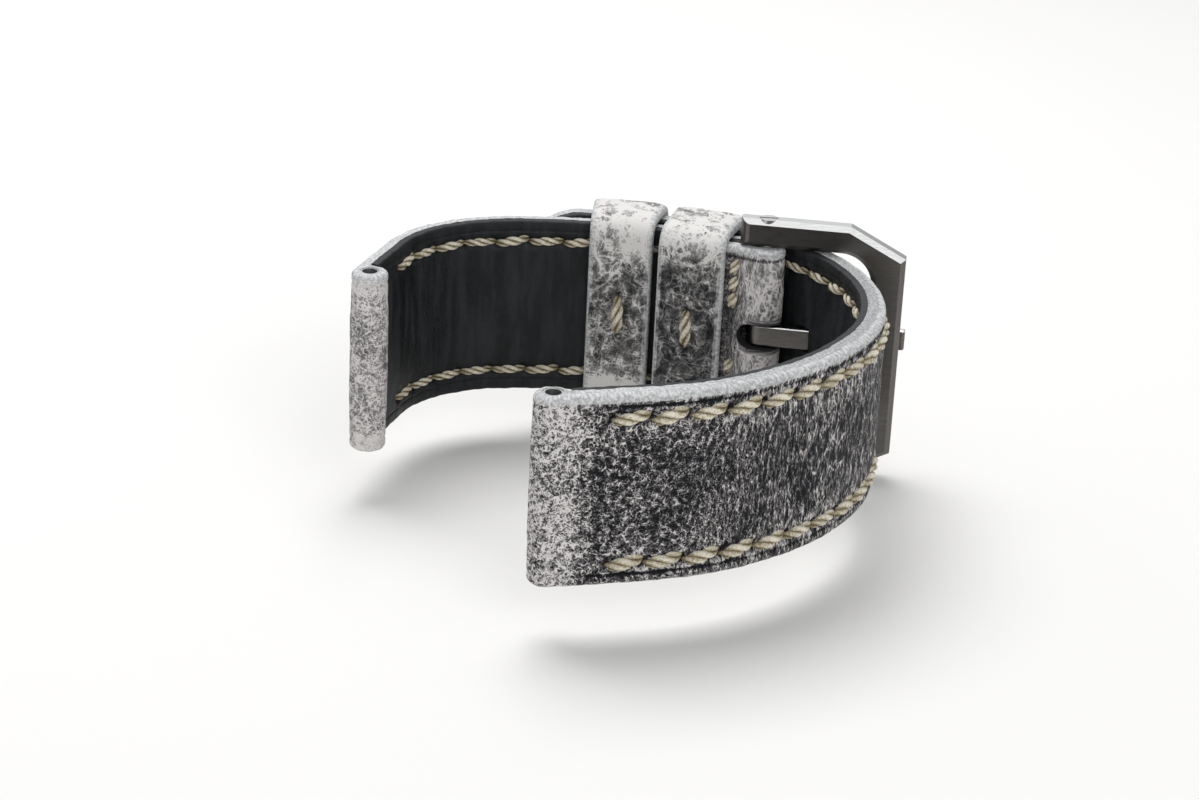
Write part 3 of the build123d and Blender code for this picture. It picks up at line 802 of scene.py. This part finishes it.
def tongue_room():
    """The tongue's way through the long half, from its rest to its lifted limit, in place."""
    plan = tongue_side(0.0, TONGUE_HALF) + tongue_side(TONGUE_LIFT, -TONGUE_HALF)[::-1]
    levels = (MIDDLE - TONGUE_ROOM, MIDDLE + TONGUE_ROOM)
    return closed_column("tongue_room", [[(x, y, z) for x, y in plan] for z in levels])


bend_tree = make_bend_tree()
stitch_tree = make_stitch_tree()


def bend(piece, line):
    """Bends a flat piece along a line, for good."""
    set_inputs(piece, bend_tree, {"Line": line, "Lead": LEAD * MM, "Middle": MIDDLE * MM})
    finish_mesh(piece, None)
    outward(piece)
    finish_mesh(piece)


def settle(piece, material, body, slot, *nodes):
    """Gives a finished piece its material and body, and hides the nodes that it is seen for; its slot is not
    used.
    """
    piece.data.materials.clear()
    piece.data.materials.append(material)
    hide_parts(*nodes)
    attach(piece, body)


hide = vintage_hide("vintage_grey_hide")
folded_hide = vintage_hide("vintage_grey_folded_hide", 0.8, 0.24, (1.0, 0.8, 0.5))
keeper_hide = vintage_hide("vintage_grey_keeper_hide", 0.42, 0.30, (0.8, 1.3, 0.5), (0.66, 0.64, 0.62, 1))
lining_black = black_lining()
thread_cream = waxed_thread()
# The frame and tongue steel is darkened as painted shade and dark reflection; its turned-up faces get a pale
# copy as painted highlight.
painted_shade_steel = worked_steel("brushed_frame_steel", (0.15, 0.142, 0.134, 1), (60, 4000, 4000), 0.30)
painted_highlight_steel = worked_steel("polished_edge_steel", (0.80, 0.79, 0.77, 1), (60, 4000, 4000), 0.16)
bar_steel = worked_steel("turned_bar_steel", (0.58, 0.57, 0.56, 1), (4000, 4000, 300), 0.28)
tube_steel = worked_steel("drawn_tube_steel", (0.45, 0.45, 0.45, 1), (4000, 4000, 200), 0.34)


def tail_wear(s, z):
    """Pale at the lug end, and a little paler towards the edges."""
    lug = 0.85 - 0.85 * rise(s + 0.8 * soft_noise(1.6 * z, 8), 1.0, 6.0)
    return lug + 0.2 * rise(np.abs(z), 4.0, 8.0) + 0.15 * rise(np.abs(z), 9.5, 12.0)


def tail_stretch(s):
    """The stretch that is bent most, where the cracks are drawn out upright."""
    return rise(s, 14.0, 34.0) * (1 - rise(s, 84.0, 96.0))


# The long half
TAIL_ROWS = (STITCH_LUG_MARGIN, TAIL_END - TIP_CORNER)
tail = cut_sheet("tail_hide", 0.0, TAIL_END, 0.0, TAIL_HIDE, 1.0, rows=TAIL_ROWS, corner=TIP_CORNER,
                 rolled=True, seed=3, worn=tail_wear, stretch=tail_stretch)
tail_lining = cut_sheet("tail_lining_calf", LUG_ROLL + LINING_GAP, TAIL_END, -LINING, 0.0, rows=TAIL_ROWS,
                        corner=TIP_CORNER, out_face=False, step=0.45, seed=4)
for sheet in (tail, tail_lining):
    for number in OTHER_HOLES:
        carve(sheet, punched_hole(ENGAGED + number * HOLE_PITCH))
    bend(sheet, tail_line)
    carve(sheet, tongue_room())
    finish_mesh(sheet)
settle(tail, hide, "strap", "outer_leather", "tail_leather")
settle(tail_lining, lining_black, "strap", "lining_leather", "tail_lining")


def folded_wear(s, z):
    """Pale where the hide turns round the bar, at the lug end and along the edges."""
    fold = 0.8 * rise(s, FLAP - 4.5, FLAP - 1.0) * (1 - rise(s, FOLD, FOLD + 4))
    lug = 0.8 * (1 - rise(FOLDED_END - s, 1.5, 5.5))
    return fold + lug + 0.45 * rise(np.abs(z), 9.0, 12.5)


def folded_stretch(s):
    """The stretch that is wrapped round the bar."""
    return rise(s, FLAP - 4.5, FLAP - 2.0) * (1 - rise(s, FOLD, FOLD + 4))


# The short half, folded round the bar
FOLDED_ROWS = (STITCH_LUG_MARGIN, FOLDED_END - FOLD - FLAP - STITCH_START)
short = cut_sheet("short_hide", 0.0, FOLDED_END, 0.0, SHORT_HIDE, 0.7, rows=FOLDED_ROWS, rolled=True,
                  flip=True, seed=5, worn=folded_wear, stretch=folded_stretch)
carve(short, notch_cutter(FLAP - NOTCH, FOLD + NOTCH, TONGUE_ROOM, 6.0))
bend(short, folded_line)
settle(short, folded_hide, "strap", "outer_leather", "buckle_leather")

SHORT_ROWS = (FLAP + STITCH_START, SHORT_END - STITCH_LUG_MARGIN)
short_lining = cut_sheet("short_lining_calf", NOTCH + 0.3, SHORT_END - LUG_ROLL - LINING_GAP, -LINING, 0.0,
                         rows=SHORT_ROWS, out_face=False, step=0.45, seed=6)
bend(short_lining, short_line)
settle(short_lining, lining_black, "strap", "lining_leather", "buckle_lining")


def loop_outline(low, high, half, corner, per_corner=12, per_side=30):
    """Points of a rounded rectangle between two offsets and plus or minus half, as many for any size."""
    centres = [(high - corner, half - corner, 0), (low + corner, half - corner, 90),
               (low + corner, -half + corner, 180), (high - corner, -half + corner, 270)]
    points = []
    for number, (x, z, first) in enumerate(centres):
        turns = [radians(first + 90 * k / per_corner) for k in range(per_corner + 1)]
        round_points = [(x + corner * cos(t), z + corner * sin(t)) for t in turns]
        x_next, z_next, after = centres[(number + 1) % 4]
        target = (x_next + corner * cos(radians(after)), z_next + corner * sin(radians(after)))
        last = round_points[-1]
        shares = [k / per_side for k in range(1, per_side)]
        run = [(last[0] + (target[0] - last[0]) * k, last[1] + (target[1] - last[1]) * k) for k in shares]
        points += round_points + run
    return np.array(points)


def keeper_loop(name, keeper, out_to, pale_from, bleached, seed):
    """A soft leather loop round both halves, with eased cut edges, puckered on the wrist side by one stitch.

    It is pale from a given height outwards to its top and bottom edges, worn there and on the top also
    painted highlight, and paler all over by bleached.
    """
    first, width, inner = keeper
    half = HALF_WIDTH + KEEPER_PLAY
    seam = inner - KEEPER_WALL
    inside = loop_outline(inner, out_to, half, KEEPER_CORNERS[0])
    outside = loop_outline(seam, out_to + KEEPER_WALL, half + KEEPER_WALL, KEEPER_CORNERS[1])
    eased = [(0.0, 0.2), (0.0, 0.5), (0.05, 0.72), (0.18, 0.86), (0.4, 0.95), (0.7, 0.99)]
    body = [(x, 1.0) for x in np.linspace(1.1, width - 1.1, 17)]
    profile = eased + body + [(width - x, f) for x, f in eased[::-1]] + [(width - 0.3, 0.0), (0.3, 0.0)]
    x = np.array([p[0] for p in profile])[None, :]
    share = np.array([p[1] for p in profile])[None, :]
    travelled = np.concatenate([[0], np.cumsum(np.linalg.norm(np.diff(outside, axis=0), axis=1))])[:, None]
    way = outside - inside
    way = way / np.linalg.norm(way, axis=1)[:, None]
    height = np.abs(outside[:, 1])[:, None]
    wrist = (outside[:, 0] < seam + 0.6)[:, None]
    from_middle = x - width / 2
    pull = wrist * bell(from_middle, 1.5) * bell(height - 3.1, 0.9)
    trough = wrist * bell(from_middle, 0.8) * (height < 3.3)
    slant = 0.9 * np.sign(outside[:, 1])[:, None]
    folds = wrist * bell(height, 5.0) * np.sin(1.4 * from_middle + slant * height)
    outer = share >= 1.0
    lift = 0.14 * (1 - (2 * x / width - 1) ** 4) + 0.05 * soft_noise(travelled * 0.8 + x * 0.5, seed)
    lift = (lift - 0.32 * pull - 0.22 * trough + 0.07 * folds) * outer
    point = inside[:, None] + (outside - inside)[:, None] * share[..., None] + way[:, None] * lift[..., None]
    stations = np.broadcast_to(first + x, lift.shape)
    vertices = np.stack([stations, -point[..., 0], point[..., 1]], -1).reshape(-1, 3)
    count, ring = lift.shape
    index = np.arange(count * ring).reshape(count, ring)
    index = np.vstack([index, index[:1]])
    index = np.column_stack([index, index[:, :1]])
    piece = new_piece(name, vertices, grid_faces(index))
    edge_cut = np.select([share <= 0.05, share < 0.9, share < 1.0], [0.0, 1.0, 0.5], 0.0)
    # Painted shade where the bold stitch goes into the loop.
    hole = wrist * bell(from_middle, 0.5) * bell(height - 3.0, 0.4) * outer
    ripple = 0.5 + 0.5 * np.sin(2.2 * from_middle + height)
    pucker = wrist * bell(from_middle, 2.4) * bell(height, 4.5) * ripple
    # Pale towards the top and bottom edges: wear where the loop turns, and on its top painted highlight.
    rubbed_and_lit = rise(height + 0.8 * soft_noise(2 * x + travelled, seed), pale_from, 14.0)
    worn = np.maximum(1.1 * rubbed_and_lit, 0.6 * pucker) + bleached
    marks = {"cut": edge_cut, "pit": hole, "worn": worn, "crease": 0.0, "stretch": 0.0}
    marks = {label: np.broadcast_to(values, lift.shape).ravel() for label, values in marks.items()}
    write_marks(piece, marks)
    write_place(piece, np.column_stack([stations.ravel(), np.broadcast_to(travelled, lift.shape).ravel()]))
    bend(piece, short_line)
    return piece


KEEPER_OUT = tail_shift + TAIL_HIDE + KEEPER_HEADROOM
fixed = keeper_loop("fixed_keeper_loop", FIXED_KEEPER, KEEPER_OUT, 8.5, 0.0, 11)
settle(fixed, keeper_hide, "strap", "keeper_leather", "fixed_keeper")
free = keeper_loop("free_keeper_loop", FREE_KEEPER, KEEPER_OUT, 5.0, 0.3, 12)
settle(free, keeper_hide, "free_keeper", "keeper_leather", "free_keeper")


def stitched(line, count, first, height, face, out, lean=0.0, **more):
    """One row of thread on a bent line, as a plain mesh."""
    base = placed("row", bpy.data.meshes.new("row"))
    values = {"Line": line, "Count": count, "First station": first * MM, "Height": height * MM,
              "Face": face * MM, "Out": float(out), "Lean": radians(lean), "Thread": thread_cream}
    values.update({key.replace("_", " "): value for key, value in more.items()})
    set_inputs(base, stitch_tree, values)
    return finish_mesh(base, None)


def joined(name, pieces):
    """One piece made of several, which are used up."""
    work = bmesh.new()
    for piece in pieces:
        work.from_mesh(piece.data)
        bpy.data.objects.remove(piece)
    mesh = bpy.data.meshes.new(name)
    work.to_mesh(mesh)
    work.free()
    piece = placed(name, mesh)
    outward(piece)
    return finish_mesh(piece, THREAD_SHARP)


def row_of(rows):
    """The count of a row's stitches and the middle of its first."""
    ends = stitch_ends(*rows)
    return len(ends) - 1, ends[0] + STITCH_PITCH / 2


FINE = {"Ply": 0.33 * MM, "Lay": 0.35 * MM, "Length": 5.2 * MM, "Sink": 0.7 * MM}
for sign, side, lean in ((1, "upper", 13), (-1, "lower", 9)):
    count, first = row_of(TAIL_ROWS)
    rows = [stitched(tail_line, count, first, sign * ROW, TAIL_HIDE - 0.1, 1, lean, Seed=sign + 4),
            stitched(tail_line, count, first, sign * ROW, -LINING + 0.1, -1, 4, Seed=sign + 9, **FINE)]
    settle(joined(f"tail_stitches_{side}", rows), thread_cream, "strap", "thread", f"tail_thread_{side}")
    count, first = row_of(FOLDED_ROWS)
    first = FOLDED_END - first - (count - 1) * STITCH_PITCH
    rows = [stitched(folded_line, count, first, sign * ROW, SHORT_HIDE + 0.02, 1, -6, Seed=sign + 14, **FINE)]
    count, first = row_of(SHORT_ROWS)
    rows.append(stitched(short_line, count, first, sign * ROW, -LINING + 0.1, -1, 4, Seed=sign + 19, **FINE))
    settle(joined(f"short_stitches_{side}", rows), thread_cream, "strap", "thread", f"buckle_thread_{side}")

# Two groups of three across the flap, above and below the tongue
pitch_up = 2 * ROW / 8
cross = [stitched(folded_line, 3, FLAP_STITCHES, start, SHORT_HIDE - 0.05, 1, 80, Pitch_along=0.0,
                  Pitch_up=pitch_up * MM, Length=2.55 * MM, Ply=0.42 * MM, Lay=0.40 * MM, Sink=0.5 * MM,
                  Turns=0.7, Seed=31) for start in (-ROW, ROW - 2 * pitch_up)]
settle(joined("flap_cross_stitches", cross), thread_cream, "strap", "thread", "flap_cross_thread")

for label, body, keeper in (("fixed", "strap", FIXED_KEEPER), ("free", "free_keeper", FREE_KEEPER)):
    station = keeper[0] + keeper[1] / 2
    bold = stitched(short_line, 1, station, 0.0, keeper[2] - KEEPER_WALL + 0.02, -1, 90, Length=6.2 * MM,
                    Ply=0.46 * MM, Lay=0.5 * MM, Turns=1.0, Sink=1.1 * MM, Unevenness=0.0)
    settle(joined(f"{label}_keeper_stitch", [bold]), thread_cream, body, "thread", f"{label}_keeper_thread")

for line in (short_line, folded_line, tail_line):
    bpy.data.objects.remove(line)

# The steel keeps its own solids and takes its finish
STEEL = {"buckle_frame": painted_shade_steel, "buckle_tongue": painted_shade_steel, "pivot_bar": bar_steel,
         "pivot_bar_screws": bar_steel, "tail_lug_tube": tube_steel, "buckle_lug_tube": tube_steel}
for node, material in STEEL.items():
    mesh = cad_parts[node].data
    mesh.materials.clear()
    mesh.materials.append(material)

# Faces turned up take the pale steel, a painted highlight on the tops
TURNED_UP = 0.3
for node in ("buckle_frame", "buckle_tongue", "pivot_bar_screws"):
    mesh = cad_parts[node].data
    mesh.materials.append(painted_highlight_steel)
    for polygon in mesh.polygons:
        if polygon.normal.z > TURNED_UP:
            polygon.material_index = 1


def plain(name, colour):
    """A dull, even material."""
    material, _, shader = finish_tree(name)
    shader.inputs["Base Color"].default_value = colour
    shader.inputs["Roughness"].default_value = 0.9
    shader.inputs["Specular IOR Level"].default_value = 0.1
    return material


FAR = 6000
floor = new_piece("floor", [(-FAR, -FAR, 0), (FAR, -FAR, 0), (FAR, FAR, 0), (-FAR, FAR, 0)], [(0, 1, 2, 3)])
floor.data.materials.append(plain("pale_floor", (0.8, 0.79, 0.77, 1)))


def soft_lamp(name, place, target, size, power, shine):
    """A large lamp in metres and watts, with its share in reflections."""
    lamp = bpy.data.lights.new(name, "AREA")
    lamp.shape = "RECTANGLE"
    lamp.size, lamp.size_y = size
    lamp.energy = power
    lamp.specular_factor = shine
    piece = placed(name, lamp)
    piece.location = place
    piece.rotation_euler = (Vector(target) - Vector(place)).to_track_quat("-Z", "Y").to_euler()


soft_lamp("high_softbox", (-0.12, 0.22, 0.62), (0, 0, 0.01), (0.5, 0.4), 3.6, 1.0)
soft_lamp("front_softbox", (0.35, -0.75, 0.42), (0, 0, 0.02), (0.6, 0.5), 3.0, 0.2)


def studio_world():
    """An even pale room whose reflections in the steel fall off to dark near the ground."""
    world = bpy.data.worlds.new("studio")
    world.use_nodes = True
    g = Graph(world.node_tree)
    rays = g.node("ShaderNodeLightPath").outputs
    look = g.separate(g.node("ShaderNodeTexCoord").outputs["Generated"])[2]
    room = g.mix(g.ramp(look, 0.05, 0.45), (0.04, 0.04, 0.04, 1), (2.1, 2.15, 2.2, 1))
    background = world.node_tree.nodes["Background"]
    shade = g.mix(rays["Is Glossy Ray"], (0.95, 0.97, 1.0, 1), room)
    g.tree.links.new(shade, background.inputs["Color"])
    background.inputs["Strength"].default_value = 0.5
    bpy.context.scene.world = world


studio_world()

camera = bpy.data.cameras.new("camera")
camera.sensor_width = 36.0
camera.lens = CAMERA_LENS
camera.clip_start = 0.01
camera.clip_end = 20.0
view = placed("camera", camera)
eye = Vector([start + away for start, away in zip((*BAR, MIDDLE), CAMERA_PLACE)]) * MM
view.matrix_world = (Matrix.Translation(eye) @ Matrix.Rotation(radians(90 - CAMERA_TILT), 4, "X")
                     @ Matrix.Rotation(radians(CAMERA_ROLL), 4, "Z"))
bpy.context.scene.camera = view
bpy.context.scene.view_settings.view_transform = "Standard"
